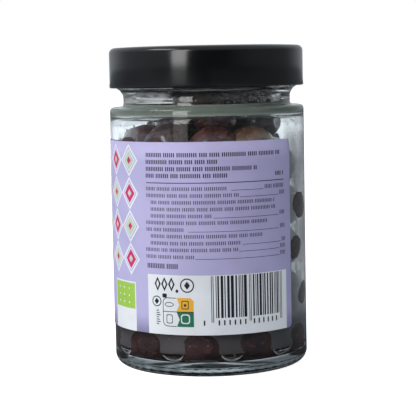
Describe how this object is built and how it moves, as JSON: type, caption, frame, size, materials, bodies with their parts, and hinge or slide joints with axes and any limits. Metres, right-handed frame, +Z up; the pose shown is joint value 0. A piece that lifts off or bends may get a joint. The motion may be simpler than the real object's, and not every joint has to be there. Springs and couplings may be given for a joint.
{
  "type": "jar of olives",
  "caption": "Shut clear glass jar packed with whole dark olives, with a deep black twist-off lid and a wrap-round paper label.",
  "frame": {"origin": "centre of the jar's base, on the surface it stands on", "axes": "+Z up along the jar's axis; the front, with the small print of the label, faces -Y; +X is to the right, where the label leaves a clear window"},
  "size_m": [0.0732, 0.0734, 0.1193],
  "materials": {
    "glass": "clear gloss, faintly green where it is thick",
    "lid": "black lacquer, satin gloss",
    "label": "lavender printed paper with a low sheen",
    "olives": "dark purple-brown fruit skin, wet with oil"
  },
  "bodies": {
    "root": {"jar": "glass", "lid": "lid", "label": "label", "olives": "olives"}
  },
  "joints": []
}
